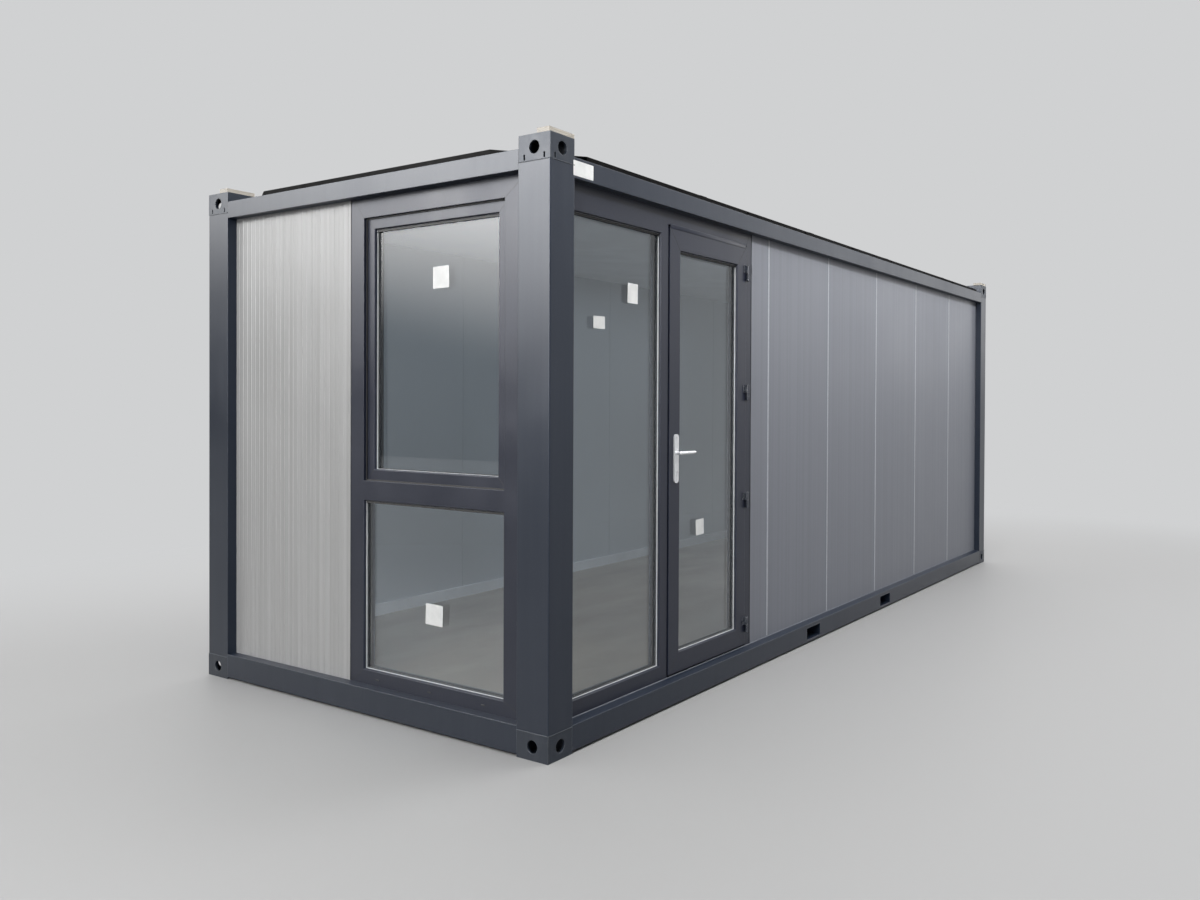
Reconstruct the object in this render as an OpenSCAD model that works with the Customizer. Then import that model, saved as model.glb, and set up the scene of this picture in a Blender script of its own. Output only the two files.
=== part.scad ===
// Office container: a steel-framed cabin with sandwich panel walls, a corner of
// full-height glazing and a glazed door. Front faces -Y, the door side faces +X.

/* [Overall] */
// Outside width across the corner castings
cabin_w = 2435; // [2300:1:3000]
// Outside length along the door side
cabin_l = 6055; // [5400:1:7200]
// Height to the top of the corner castings
cabin_h = 2591; // [2560:1:2900]

/* [Posts and castings] */
// Width of a post across the front
post_w = 175; // [150:1:220]
// Depth of a post along the side
post_d = 150; // [130:1:200]
// Sheet thickness of posts and beams
steel_t = 4; // [2:0.5:6]
// How far a post lip laps over the wall behind it
post_lap = 30; // [15:1:40]
// Outer corner radius of a folded post
post_r = 6; // [3:0.5:10]
// Height of a bottom casting
casting_low_h = 115; // [100:1:140]
// Height of a top casting
casting_top_h = 110; // [100:1:140]
// Wall thickness of a casting
casting_t = 12; // [8:1:18]
// Diameter of the lashing holes in the castings
casting_hole_d = 56; // [40:1:64]
// Width of the keeper slots in the top castings
slot_w = 9; // [6:0.5:12]
// Length of the keeper slots in the top castings
slot_l = 24; // [18:1:28]
// Drop of the keeper slots below the lashing holes
slot_drop = 38; // [34:1:40]
// Distance of the end face slots from the middle of the casting
slot_end = 55; // [40:1:60]
// Distance of the side face slot from the middle of the casting
slot_side = 45; // [36:1:50]

/* [Floor frame] */
// Height of the beam underside over the ground
beam_z = 12; // [5:1:25]
// Height of the outer top edge of a long floor beam
long_beam_top = 120; // [110:1:126]
// Height of the outer top edge of an end floor beam
end_beam_top = 132; // [129:1:150]
// Height of the ledge that carries walls and deck
wall_z = 128; // [127:1:135]
// Depth of a bottom flange
flange_d = 70; // [40:1:90]
// Width of the bearing ledge under wall and deck
ledge_w = 150; // [140:1:180]
// Inside width of a fork pocket
pocket_w = 182; // [150:1:220]
// Inside height of a fork pocket
pocket_h = 70; // [50:1:76]
// Height of a fork pocket floor over the ground
pocket_z = 26; // [22:1:30]
// Distance between the fork pocket centres
pocket_pitch = 1170; // [1080:1:1250]
// Wall of a fork pocket tube
pocket_t = 4; // [2:0.5:5]
// Distance between floor joists
joist_pitch = 600; // [560:1:640]
// Width of a floor joist
joist_w = 50; // [30:1:80]
// Height of a floor joist
joist_h = 90; // [60:1:95]
// Thickness of the floor deck
deck_t = 18; // [12:1:28]
// Height of the skirting boards
skirting_h = 70; // [40:1:100]
// Thickness of the skirting boards
skirting_t = 14; // [10:1:24]

/* [Walls] */
// Setback of the walls behind the frame faces
recess = 50; // [40:1:60]
// Thickness of a sandwich panel
panel_t = 60; // [40:1:62]
// Width of one wall panel
panel_pitch = 801; // [780:1:815]
// Open joint between panels
panel_gap = 3; // [2:0.5:6]
// Depth of a panel tongue
tongue_d = 10; // [6:1:16]
// Thickness of a panel tongue
tongue_t = 20; // [12:1:26]
// Distance between the ribs of the front panel
rib_pitch = 36; // [24:1:60]
// Width of a rib groove
rib_w = 6; // [3:0.5:12]
// Depth of a rib groove
rib_d = 1.5; // [0.8:0.1:3]

/* [Roof] */
// Height of a roof beam face
roof_beam_h = 86; // [70:1:100]
// Height of the long roof beam top below the casting tops
long_roof_drop = 76; // [70:1:90]
// Height of the end roof beam top below the casting tops
end_roof_drop = 53; // [48:1:60]
// Depth of the roof beam flanges that carry the sheet
roof_flange_d = 80; // [70:1:100]
// Thickness of the roof sheet
sheet_t = 2; // [1:0.5:4]
// Setback of the roof sheet from the side faces
eave_side = 15; // [8:1:30]
// Setback of the roof sheet from the end faces
eave_end = 60; // [40:1:70]
// Height of the side eave below the casting tops
eave_drop = 51; // [46:1:60]
// Height of the crown below the casting tops
crown_drop = 11; // [4:1:20]
// Distance from the side face to the crown fold
crown_in = 400; // [300:1:500]
// Distance from the end face to the start of the side eave
corner_cut = 250; // [220:1:320]
// Height of the ceiling underside below the casting tops
ceiling_drop = 116; // [112:1:125]
// Thickness of the ceiling board
ceiling_t = 18; // [12:1:24]
// Width of a stacking batten
batten_w = 67; // [40:1:90]
// Length of a stacking batten
batten_l = 156; // [120:1:240]
// Thickness of a stacking batten
batten_t = 20; // [12:1:30]
// Distance of a batten from the door side edge of its casting
batten_in = 6; // [0:1:40]

/* [Glazing] */
// Depth of the window and door frames
frame_d = 70; // [60:1:90]
// Distance from the door side to the far edge of the front window
window_end = 1313; // [1200:1:1450]
// Face width of the front window jamb beside the panel
window_jamb = 93; // [70:1:110]
// Distance from the door side to the clear opening of the front window
window_in = 300; // [260:1:330]
// Height of the lower pane bottom edge
pane_z = 199; // [185:1:230]
// Height of the transom underside
transom_z = 1013; // [900:1:1100]
// Height of the transom
transom_h = 92; // [70:1:120]
// Drop of the front window head below the casting tops
window_head_drop = 232; // [200:1:320]
// Face width of the opening sash
sash_w = 52; // [40:1:70]
// Setback of the sash behind the frame face
sash_in = 19; // [10:1:24]
// Thickness of the sash
sash_t = 56; // [50:1:64]
// Thickness of a glass unit
glass_t = 24; // [18:1:28]
// How far a glass unit sits into its frame
glass_lap = 12; // [6:1:18]
// Face width of the bevel round a glass opening
bevel_w = 4; // [2:0.5:8]
// Depth of the bevel round a glass opening
bevel_d = 8; // [4:0.5:9]
// Setback of the front lower pane behind the frame face
pane_in = 20; // [12:1:26]
// Setback of the sash pane behind the sash face
sash_pane_in = 20; // [12:1:26]
// Setback of the side pane behind the frame face
side_pane_in = 20; // [12:1:30]
// Distance from the front face to the far edge of the door frame
glazing_end = 1725; // [1700:1:1800]
// Distance from the front face to the side pane opening
side_pane_y = 205; // [190:1:230]
// Distance from the front face to the mullion
mullion_y = 855; // [800:1:900]
// Face width of the mullion beside the door
mullion_w = 57; // [45:1:80]
// Face width of the hinge jamb
hinge_jamb = 55; // [45:1:80]
// Drop of the side pane opening below the casting tops
side_head_drop = 281; // [240:1:340]

/* [Door] */
// Running gap round the door leaf
door_gap = 9; // [8:0.5:10]
// Height of the door leaf underside
door_z = 140; // [138:1:145]
// Drop of the door leaf top below the casting tops
door_drop = 241; // [220:1:380]
// Setback of the door leaf behind the frame faces
door_in = 45; // [44:1:50]
// Thickness of the door leaf
door_t = 62; // [54:1:64]
// Face width of the door stiles
stile_w = 89; // [75:1:110]
// Height of the door top rail
rail_top_h = 105; // [80:1:130]
// Height of the door bottom rail
rail_low_h = 97; // [80:1:140]
// Setback of the door pane behind the leaf face
door_pane_in = 20; // [12:1:26]
// Width of the door stop behind the leaf
stop_w = 20; // [16:1:26]
// Thickness of the door stop
stop_t = 7; // [4:0.5:8]
// Height of the lever spindle over the ground
lever_z = 1236; // [1000:1:1350]
// Distance from the leaf edge to the lever spindle
spindle_in = 54; // [46:0.5:60]
// Length of the handle plates
plate_l = 243; // [180:1:270]
// Width of the handle plates
plate_w = 38; // [28:1:46]
// Thickness of the handle plates
plate_t = 8; // [5:0.5:9]
// Drop of the plate centre below the spindle
plate_drop = 28; // [10:1:50]
// Length of the lever from spindle to tip
lever_l = 132; // [100:1:150]
// Diameter of the lever grip at its root
grip_d = 20; // [16:0.5:22]
// Diameter of the lever grip at its tip
tip_d = 16; // [12:0.5:18]
// Reach of the lever axis in front of the handle plate
lever_out = 25; // [20:0.5:26]
// Diameter of the spindle and neck
spindle_d = 16; // [12:0.5:18]
// Running clearance round the spindle
spindle_gap = 0.3; // [0.2:0.05:0.6]
// Drop of the lock cylinder below the spindle
lock_drop = 92; // [70:1:100]
// Diameter of the lock cylinder
lock_d = 17; // [15:0.5:18]
// Width of the wing below the lock cylinder
lock_w = 10; // [8:0.5:11]
// Height of the lock cylinder with its wing
lock_h = 33; // [28:0.5:36]
// How far the lock cylinder stands out of its plates
lock_out = 2; // [1:0.5:4]
// Clearance round the lock cylinder
lock_gap = 0.2; // [0.1:0.05:0.5]
// Heights of the door hinges as shares of the leaf height
hinge_shares = [0.05, 0.365, 0.635, 0.935]; // [0.03:0.005:0.96]
// Outside diameter of a hinge barrel
barrel_d = 16; // [12:0.5:18]
// Height of one hinge knuckle
knuckle_h = 42; // [30:1:60]
// Offset of the hinge axis in front of the leaf face
hinge_out = 12; // [11:0.5:14]
// Thickness of a hinge flap
flap_t = 3; // [2:0.5:4]
// Width of a hinge flap on the leaf
flap_w = 30; // [20:1:40]
// End play between the knuckles of a hinge
knuckle_gap = 0.5; // [0.3:0.1:1]

/* [Hidden] */
$fn = 48;
over = 1;                                  // overrun of every cut
fit = 2;                                   // clearance of deck and boards round the posts
half_w = cabin_w / 2;
half_l = cabin_l / 2;
post_top = cabin_h - casting_top_h;
core_w = post_w - post_lap;                // post behind the front lip
core_d = post_d - post_lap;                // post behind the side lip
wall_top = cabin_h - ceiling_drop;
wall_h = wall_top - wall_z;
wall_in = recess + panel_t;                // inner wall face
long_roof_top = cabin_h - long_roof_drop;
end_roof_top = cabin_h - end_roof_drop;
eave_z = cabin_h - eave_drop;
crown_z = cabin_h - crown_drop;
deck_z = wall_z + deck_t;
frame_in = recess + frame_d;                // inner face of the window and door frames
window_x1 = window_end - window_jamb;
window_head_z = cabin_h - window_head_drop;
side_head_z = cabin_h - side_head_drop;
door_top = cabin_h - door_drop;
hinge_zs = [for (s = hinge_shares) door_z + s * (door_top - door_z)];
sash_y = recess + sash_in;
sash_z = transom_z + transom_h;
door_back = door_in + door_t;              // inner face of the door leaf
door_y0 = mullion_y + mullion_w + door_gap;
door_y1 = glazing_end - hinge_jamb - door_gap;
spindle_y = door_y0 + spindle_in;
axis_y = door_y1 + door_gap / 2;
axis_in = door_in - hinge_out;
door_head_z = door_top + door_gap;
joist_count = 2 * floor((half_l - post_d) / joist_pitch);
rib_share = 0.5;                           // floor of a rib groove, in groove widths
neck_share = 0.75;                         // neck of a knuckle, in barrel diameters
anthracite = [0.20, 0.23, 0.26];
foil = [0.23, 0.25, 0.28];
silver = [0.60, 0.61, 0.64];
light_grey = [0.76, 0.75, 0.72];
clear = [0.6, 0.75, 0.78, 0.4];

// Places its children, drawn for the front right corner, at another corner
module at_corner(left = false, rear = false)
  mirror([left ? 1 : 0, 0, 0]) mirror([0, rear ? 1 : 0, 0]) children();

// Extrudes an outline drawn in x and z along Y, centred
module along_y(len) translate([0, len / 2, 0]) rotate([90, 0, 0]) linear_extrude(len) children();

// Extrudes an outline drawn in y and z along X, centred
module along_x(len) translate([-len / 2, 0, 0]) rotate([90, 0, 90]) linear_extrude(len) children();

// Box given by two corners
module span(a, b) translate(a) cube(b - a);

// Box on the door side: depth behind the side face, distance from the front face, height
module side_box(d0, d1, y0, y1, z0, z1)
  span([half_w - d1, y0 - half_l, z0], [half_w - d0, y1 - half_l, z1]);

// Box on the front: depth behind the front face, distance from the door side, height
module front_box(d0, d1, x0, x1, z0, z1)
  span([half_w - x1, d0 - half_l, z0], [half_w - x0, d1 - half_l, z1]);

// Section of a bevelled opening from a to b whose outer face lies at depth d
module bevel_outline(d, a, b)
  polygon([[d - over, a], [d, a], [d + bevel_d, a + bevel_w],
    [d + bevel_d, b - bevel_w], [d, b], [d - over, b]]);

// Cut for a glazed opening of the door side, bevelled at d0 and straight to d1
module side_light(d0, d1, y0, y1, z0, z1) {
  intersection() {
    along_y(cabin_l) translate([half_w, 0]) mirror([1, 0]) bevel_outline(d0, z0, z1);
    linear_extrude(cabin_h) translate([half_w, -half_l]) mirror([1, 0]) bevel_outline(d0, y0, y1);
  }
  side_box(d0, d1 + over, y0 + bevel_w, y1 - bevel_w, z0 + bevel_w, z1 - bevel_w);
}

// Cut for a glazed opening of the front, bevelled at d0 and straight to d1
module front_light(d0, d1, x0, x1, z0, z1) {
  intersection() {
    along_x(cabin_w) translate([-half_l, 0]) bevel_outline(d0, z0, z1);
    linear_extrude(cabin_h) translate([half_w, -half_l]) rotate(90) bevel_outline(d0, x0, x1);
  }
  front_box(d0, d1 + over, x0 + bevel_w, x1 - bevel_w, z0 + bevel_w, z1 - bevel_w);
}

// Folded post outline, inset by its sheet thickness for the hollow inside
module post_outline(i) {
  r = max(post_r - i, steel_t / 2);
  translate([i + r, i]) square([post_w - 2 * i - r, recess - 2 * i]);
  translate([i, i + r]) square([recess - 2 * i, post_d - 2 * i - r]);
  translate([i + r, i + r]) square([core_w - 2 * i - r, core_d - 2 * i - r]);
  translate([i + r, i + r]) circle(r);
}

module post() color(anthracite)
  translate([half_w, -half_l, casting_low_h]) mirror([1, 0, 0])
    linear_extrude(post_top - casting_low_h)
      difference() {
        post_outline(0);
        post_outline(steel_t);
      }

// Corner casting, a thick box open towards its post, with a hole in both outer faces
module casting(h, cap_z, hole_z) {
  inner = [post_w - 2 * casting_t, post_d - 2 * casting_t, h - casting_t + over];
  difference() {
    translate([half_w - post_w, -half_l, 0]) cube([post_w, post_d, h]);
    translate([half_w - post_w + casting_t, casting_t - half_l, cap_z]) cube(inner);
    translate([half_w - casting_t - over, post_d / 2 - half_l, hole_z]) rotate([0, 90, 0])
      cylinder(d = casting_hole_d, h = casting_t + 2 * over);
    translate([half_w - post_w / 2, casting_t + over - half_l, hole_z]) rotate([90, 0, 0])
      cylinder(d = casting_hole_d, h = casting_t + 2 * over);
  }
}

module casting_low() color(anthracite) casting(casting_low_h, casting_t, casting_low_h / 2);

// Upright slot with round ends, cut along Y
module keeper_slot() rotate([90, 0, 0]) translate([0, 0, -over]) linear_extrude(casting_t + 2 * over) {
  square([slot_w, slot_l - slot_w], center = true);
  for (s = [-1, 1]) translate([0, s * (slot_l - slot_w) / 2]) circle(d = slot_w);
}

// Top casting with keeper slots beside its lashing holes
module casting_top() color(anthracite) translate([0, 0, post_top]) difference() {
  casting(casting_top_h, -over, casting_top_h / 2);
  translate([half_w, -half_l, casting_top_h / 2 - slot_drop]) {
    for (s = [-1, 1]) translate([s * slot_end - post_w / 2, casting_t, 0]) keeper_slot();
    translate([-casting_t, post_d / 2 - slot_side, 0]) rotate([0, 0, 90]) keeper_slot();
  }
}

// Folded long floor beam of the door side, cut for the fork pockets
module long_floor_beam() color(anthracite) difference() {
  along_y(cabin_l - 2 * post_d) translate([half_w, 0]) {
    translate([-steel_t, beam_z]) square([steel_t, long_beam_top - beam_z]);
    translate([-flange_d, beam_z]) square([flange_d, steel_t]);
    polygon([[0, long_beam_top], [-recess, wall_z], [-recess, wall_z - steel_t],
      [-steel_t, long_beam_top - steel_t], [0, long_beam_top - steel_t]]);
    translate([-ledge_w, wall_z - steel_t]) square([ledge_w - recess, steel_t]);
    translate([-ledge_w, beam_z]) square([steel_t, wall_z - beam_z]);
  }
  for (s = [-1, 1]) fork_block(s, pocket_t, over);
}

// Folded front floor beam with a raised outer lip
module end_floor_beam() color(anthracite)
  along_x(cabin_w - 2 * post_w) translate([-half_l, 0]) {
    translate([0, beam_z]) square([steel_t, end_beam_top - beam_z]);
    translate([0, beam_z]) square([flange_d, steel_t]);
    translate([0, end_beam_top - steel_t]) square([recess, steel_t]);
    translate([recess - steel_t, wall_z - steel_t]) square([steel_t, end_beam_top - wall_z + steel_t]);
    translate([recess - steel_t, wall_z - steel_t]) square([ledge_w - recess + steel_t, steel_t]);
    translate([ledge_w - steel_t, beam_z]) square([steel_t, wall_z - beam_z]);
  }

// Straight block of a fork pocket, grown by g round its opening and by e at both ends
module fork_block(side, g, e)
  translate([-half_w - e, side * pocket_pitch / 2 - pocket_w / 2 - g, pocket_z - g])
    cube([cabin_w + 2 * e, pocket_w + 2 * g, pocket_h + 2 * g]);

// Fork pocket tube through the whole width
module fork_pocket(side) color(anthracite) difference() {
  fork_block(side, pocket_t, 0);
  fork_block(side, 0, over);
}

// Folded channel joists across the floor, clear of the fork pockets
module floor_joists() color("gray")
  for (i = [0 : joist_count - 1])
    translate([0, (i - (joist_count - 1) / 2) * joist_pitch, wall_z - joist_h])
      along_x(cabin_w - 2 * ledge_w) {
        translate([-joist_w / 2, 0]) square([joist_w, steel_t]);
        translate([-joist_w / 2, joist_h - steel_t]) square([joist_w, steel_t]);
        translate([-joist_w / 2, 0]) square([steel_t, joist_h]);
      }

// Cuts a board round the four posts
module clear_posts(w, d, z, h)
  for (sx = [-1, 1], sy = [-1, 1])
    translate([sx * (half_w - w / 2), sy * (half_l - d / 2), z + h / 2])
      cube([w + 2 * fit, d + 2 * fit, h + 2 * over], center = true);

// Deck from wall to wall, cut round the posts and the deeper window and door frames
module floor_deck() color([0.42, 0.38, 0.34]) difference() {
  span([wall_in + fit - half_w, wall_in + fit - half_l, wall_z],
    [half_w - wall_in - fit, half_l - wall_in - fit, deck_z]);
  clear_posts(core_w, core_d, wall_z, deck_t);
  front_box(recess, recess + frame_d + fit, core_w, window_end + fit, wall_z - over, deck_z + over);
  side_box(recess, recess + frame_d + fit, core_d, glazing_end + fit, wall_z - over, deck_z + over);
}

// Skirting boards along the panel walls, which the deck and the panels carry
module skirting() color([0.85, 0.84, 0.82]) {
  face = wall_in + skirting_t;
  top = deck_z + skirting_h;
  end = post_d + fit;
  edge = post_w + fit;
  mirror([1, 0, 0]) side_box(wall_in, face, end, cabin_l - end, deck_z, top);
  side_box(wall_in, face, glazing_end + fit, cabin_l - end, deck_z, top);
  front_box(wall_in, face, window_end + fit, cabin_w - edge, deck_z, top);
  mirror([0, 1, 0]) front_box(wall_in, face, edge, cabin_w - edge, deck_z, top);
}

// Folded roof beam of the door side
module long_roof_beam() color(anthracite)
  along_y(cabin_l - 2 * post_d) translate([half_w, long_roof_top]) {
    translate([-steel_t, -roof_beam_h]) square([steel_t, roof_beam_h]);
    translate([-recess, -roof_beam_h]) square([recess, steel_t]);
    translate([-recess, -steel_t]) square([recess, steel_t]);
  }

// Folded roof beam of the front
module end_roof_beam() color(anthracite)
  along_x(cabin_w - 2 * post_w) translate([-half_l, end_roof_top]) {
    translate([0, -roof_beam_h]) square([steel_t, roof_beam_h]);
    translate([0, -roof_beam_h]) square([recess, steel_t]);
    translate([0, -steel_t]) square([roof_flange_d, steel_t]);
  }

// Solid under the roof sheet: a low crown with cut corners, inset by i
module roof_form(i, foot) {
  run = crown_in - eave_side;
  rise = corner_cut - eave_end;
  slant = norm([run, rise]);
  sx = half_w - eave_side - i;
  sy = half_l - corner_cut - i * (1 - rise / slant) * slant / run;
  fx = half_w - crown_in - i * (1 - run / slant) * slant / rise;
  fy = half_l - eave_end - i;
  intersection() {
    along_y(cabin_l) polygon([[-sx, foot], [sx, foot], [sx, eave_z - i], [fx, crown_z - i],
      [-fx, crown_z - i], [-sx, eave_z - i]]);
    translate([0, 0, foot]) linear_extrude(cabin_h - foot)
      polygon([[sx, -sy], [sx, sy], [fx, fy], [-fx, fy], [-sx, sy], [-sx, -sy], [-fx, -fy], [fx, -fy]]);
  }
}

module roof_sheet() color([0.06, 0.06, 0.07]) difference() {
  roof_form(0, long_roof_top);
  roof_form(sheet_t, long_roof_top - over);
  for (s = [-1, 1])
    translate([0, s * (half_l - corner_cut / 2), long_roof_top])
      cube([cabin_w, corner_cut + over, 2 * (end_roof_top - long_roof_top)], center = true);
}

module ceiling() color("white") difference() {
  translate([-half_w + recess, -half_l + recess, wall_top])
    cube([cabin_w - 2 * recess, cabin_l - 2 * recess, ceiling_t]);
  clear_posts(post_w, post_d, wall_top, ceiling_t);
}

// One wooden batten on each top casting, along its edge towards the door side
module stacking_battens() color([0.80, 0.72, 0.58])
  for (x = [half_w, post_w - half_w], rear = [false, true]) at_corner(rear = rear)
    translate([x - batten_in - batten_w, -half_l, cabin_h]) cube([batten_w, batten_l, batten_t]);

// Outline of one panel in plan: a tongue at its end and a groove at its start
module panel_outline(len, groove, tongue) {
  slot = tongue_t + panel_gap;
  difference() {
    union() {
      square([len, panel_t]);
      if (tongue) translate([0, (panel_t - tongue_t) / 2]) square([len + tongue_d, tongue_t]);
    }
    if (groove) translate([-over, (panel_t - slot) / 2]) square([tongue_d + over, slot]);
  }
}

// Run of tongued panels along X: one cut strip, then whole panels
module panel_run(len) {
  count = floor(len / panel_pitch);
  strip = len - count * panel_pitch;
  linear_extrude(wall_h) {
    panel_outline(strip - panel_gap, false, true);
    for (i = [0 : count - 1])
      translate([strip + i * panel_pitch, 0])
        panel_outline(i < count - 1 ? panel_pitch - panel_gap : panel_pitch, true, i < count - 1);
  }
}

module right_wall_panels() color(silver)
  translate([half_w - recess, glazing_end - half_l, wall_z]) rotate([0, 0, 90])
    panel_run(cabin_l - glazing_end - core_d);

module left_wall_panels() color(silver)
  translate([recess - half_w, half_l - core_d, wall_z]) rotate([0, 0, -90]) panel_run(cabin_l - 2 * core_d);

module rear_wall_panels() color(silver)
  translate([half_w - core_w, half_l - recess, wall_z]) rotate([0, 0, 180]) panel_run(cabin_w - 2 * core_w);

// Front panel with fine upright ribs on its outer skin
module front_wall_panel() color(light_grey) {
  len = cabin_w - core_w - window_end;
  count = floor((len - rib_w) / rib_pitch);
  top = rib_w / 2;
  low = top * rib_share;
  translate([core_w - half_w, recess - half_l, wall_z]) linear_extrude(wall_h) difference() {
    square([len, panel_t]);
    for (i = [0 : count]) translate([rib_pitch * i + (len - rib_pitch * count) / 2, 0])
      polygon([[-top, -over], [top, -over], [top, 0], [low, rib_d], [-low, rib_d], [-top, 0]]);
  }
}

// Outer frame of the front window: a lower fixed light and an opening for the sash
module front_window_frame() color(foil) difference() {
  front_box(recess, frame_in, core_w, window_end, wall_z, wall_top);
  front_light(recess, frame_in, window_in, window_x1, pane_z, transom_z);
  front_box(recess - over, frame_in + over, window_in, window_x1, sash_z, window_head_z);
  low_pane();
}

// Glass unit of the fixed light below the transom
module low_pane()
  front_box(recess + pane_in, recess + pane_in + glass_t, window_in - glass_lap, window_x1 + glass_lap,
    pane_z - glass_lap, transom_z + glass_lap);

// Glass unit of the sash
module sash_pane()
  front_box(sash_y + sash_pane_in, sash_y + sash_pane_in + glass_t, window_in + sash_w - glass_lap,
    window_x1 - sash_w + glass_lap, sash_z + sash_w - glass_lap, window_head_z - sash_w + glass_lap);

module front_window_sash() color(foil) difference() {
  front_box(sash_y, sash_y + sash_t, window_in, window_x1, sash_z, window_head_z);
  front_light(sash_y, sash_y + sash_t, window_in + sash_w, window_x1 - sash_w, sash_z + sash_w,
    window_head_z - sash_w);
  sash_pane();
}

module front_upper_glass() color(clear) sash_pane();

module front_lower_glass() color(clear) low_pane();

// Glass unit of the side light
module side_pane()
  side_box(recess + side_pane_in, recess + side_pane_in + glass_t, side_pane_y - glass_lap,
    mullion_y + glass_lap, pane_z - glass_lap, side_head_z + glass_lap);

// Frame of the side light and the door, with a stop behind the leaf
module side_glazing_frame() color(foil) difference() {
  side_box(recess, frame_in, core_d, glazing_end, wall_z, wall_top);
  side_light(recess, frame_in, side_pane_y, mullion_y, pane_z, side_head_z);
  side_pane();
  side_box(recess - over, frame_in - stop_t, door_y0 - door_gap, door_y1 + door_gap, door_z - door_gap,
    door_head_z);
  side_box(recess - over, frame_in + over, door_y0 - door_gap + stop_w, door_y1 + door_gap - stop_w,
    door_z - door_gap, door_head_z - stop_w);
}

module side_fixed_glass() color(clear) side_pane();

// Glass unit of the door
module door_pane()
  side_box(door_in + door_pane_in, door_in + door_pane_in + glass_t, door_y0 + stile_w - glass_lap,
    door_y1 - stile_w + glass_lap, door_z + rail_low_h - glass_lap, door_top - rail_top_h + glass_lap);

// Spindle axis through the lock stile, from depth d0 to d1 behind the side face
module spindle(d0, d1, dia) translate([half_w - d1, spindle_y - half_l, lever_z]) rotate([0, 90, 0])
  cylinder(d = dia, h = d1 - d0);

// Profile cylinder below the spindle, from depth d0 to d1, grown by g all round
module lock_bar(d0, d1, g) {
  wing = lock_h - lock_d / 2 - lock_w / 2;
  translate([half_w - d1, spindle_y - half_l, lever_z - lock_drop]) rotate([90, 0, 90])
    linear_extrude(d1 - d0) {
      circle(d = lock_d + 2 * g);
      translate([-lock_w / 2 - g, -wing]) square([lock_w + 2 * g, wing]);
      translate([0, -wing]) circle(d = lock_w + 2 * g);
    }
}

// Leaf with the bevelled glass opening, the glass pocket and the holes of the lever set
module door_leaf() color(foil) difference() {
  side_box(door_in, door_back, door_y0, door_y1, door_z, door_top);
  side_light(door_in, door_back, door_y0 + stile_w, door_y1 - stile_w, door_z + rail_low_h,
    door_top - rail_top_h);
  door_pane();
  spindle(door_in - over, door_back + over, spindle_d + 2 * spindle_gap);
  lock_bar(door_in - over, door_back + over, lock_gap);
}

module door_glass() color(clear) door_pane();

module lock_cylinder() color("silver")
  lock_bar(door_in - plate_t - lock_out, door_back + plate_t + lock_out, 0);

// Long round-ended plate on each face of the lock stile
module door_handle_plates() color("silver")
  for (d = [door_in - plate_t, door_back]) difference() {
    translate([half_w - d - plate_t, spindle_y - half_l, lever_z - plate_drop]) rotate([90, 0, 90])
      linear_extrude(plate_t) {
        square([plate_w, plate_l - plate_w], center = true);
        for (s = [-1, 1]) translate([0, s * (plate_l - plate_w) / 2]) circle(d = plate_w);
      }
    spindle(d - over, d + plate_t + over, spindle_d + 2 * spindle_gap);
    lock_bar(d - over, d + plate_t + over, lock_gap);
  }

// Pair of tapered levers on one spindle
module door_lever() color("silver") {
  outer = door_in - plate_t - lever_out;
  inner = door_back + plate_t + lever_out;
  grip_l = lever_l - tip_d / 2;
  spindle(outer, inner, spindle_d);
  for (d = [outer, inner]) translate([half_w - d, spindle_y - half_l, lever_z]) {
    rotate([-90, 0, 0]) cylinder(d1 = grip_d, d2 = tip_d, h = grip_l);
    sphere(d = grip_d);
    translate([0, grip_l, 0]) sphere(d = tip_d);
  }
}

// Knuckle of a door hinge with its flap: towards the jamb for dir 1, towards the leaf for dir -1
module knuckle(z, dir, face_in) {
  root = axis_y + dir * door_gap / 2;
  reach = root + dir * flap_w;
  neck = axis_y + dir * barrel_d * neck_share;
  translate([half_w - axis_in, axis_y - half_l, z]) cylinder(d = barrel_d, h = knuckle_h);
  side_box(face_in - flap_t, face_in, min(root, reach), max(root, reach), z, z + knuckle_h);
  side_box(axis_in, face_in, min(axis_y, neck), max(axis_y, neck), z, z + knuckle_h);
}

module hinges_on_frame() color(anthracite)
  for (z = hinge_zs) knuckle(z - knuckle_h - knuckle_gap / 2, 1, recess);

module hinges_on_leaf() color(anthracite)
  for (z = hinge_zs) knuckle(z + knuckle_gap / 2, -1, door_in);

module post_front_right() at_corner() post();
module post_front_left() at_corner(left = true) post();
module post_rear_right() at_corner(rear = true) post();
module post_rear_left() at_corner(left = true, rear = true) post();

post_front_right();
post_front_left();
post_rear_right();
post_rear_left();
at_corner() casting_low();  // casting_low_front_right
at_corner(left = true) casting_low();  // casting_low_front_left
at_corner(rear = true) casting_low();  // casting_low_rear_right
at_corner(left = true, rear = true) casting_low();  // casting_low_rear_left
at_corner() casting_top();  // casting_top_front_right
at_corner(left = true) casting_top();  // casting_top_front_left
at_corner(rear = true) casting_top();  // casting_top_rear_right
at_corner(left = true, rear = true) casting_top();  // casting_top_rear_left
end_floor_beam();  // floor_beam_front
at_corner(rear = true) end_floor_beam();  // floor_beam_rear
long_floor_beam();  // floor_beam_right
at_corner(left = true) long_floor_beam();  // floor_beam_left
fork_pocket(-1);  // fork_pocket_front
fork_pocket(1);  // fork_pocket_rear
floor_joists();
floor_deck();
skirting();
end_roof_beam();  // roof_beam_front
at_corner(rear = true) end_roof_beam();  // roof_beam_rear
long_roof_beam();  // roof_beam_right
at_corner(left = true) long_roof_beam();  // roof_beam_left
roof_sheet();
ceiling();
stacking_battens();
front_wall_panel();
right_wall_panels();
left_wall_panels();
rear_wall_panels();
front_window_frame();
front_window_sash();
front_upper_glass();
front_lower_glass();
side_glazing_frame();
side_fixed_glass();
door_leaf();
door_glass();
door_handle_plates();
lock_cylinder();
door_lever();
hinges_on_frame();
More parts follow.
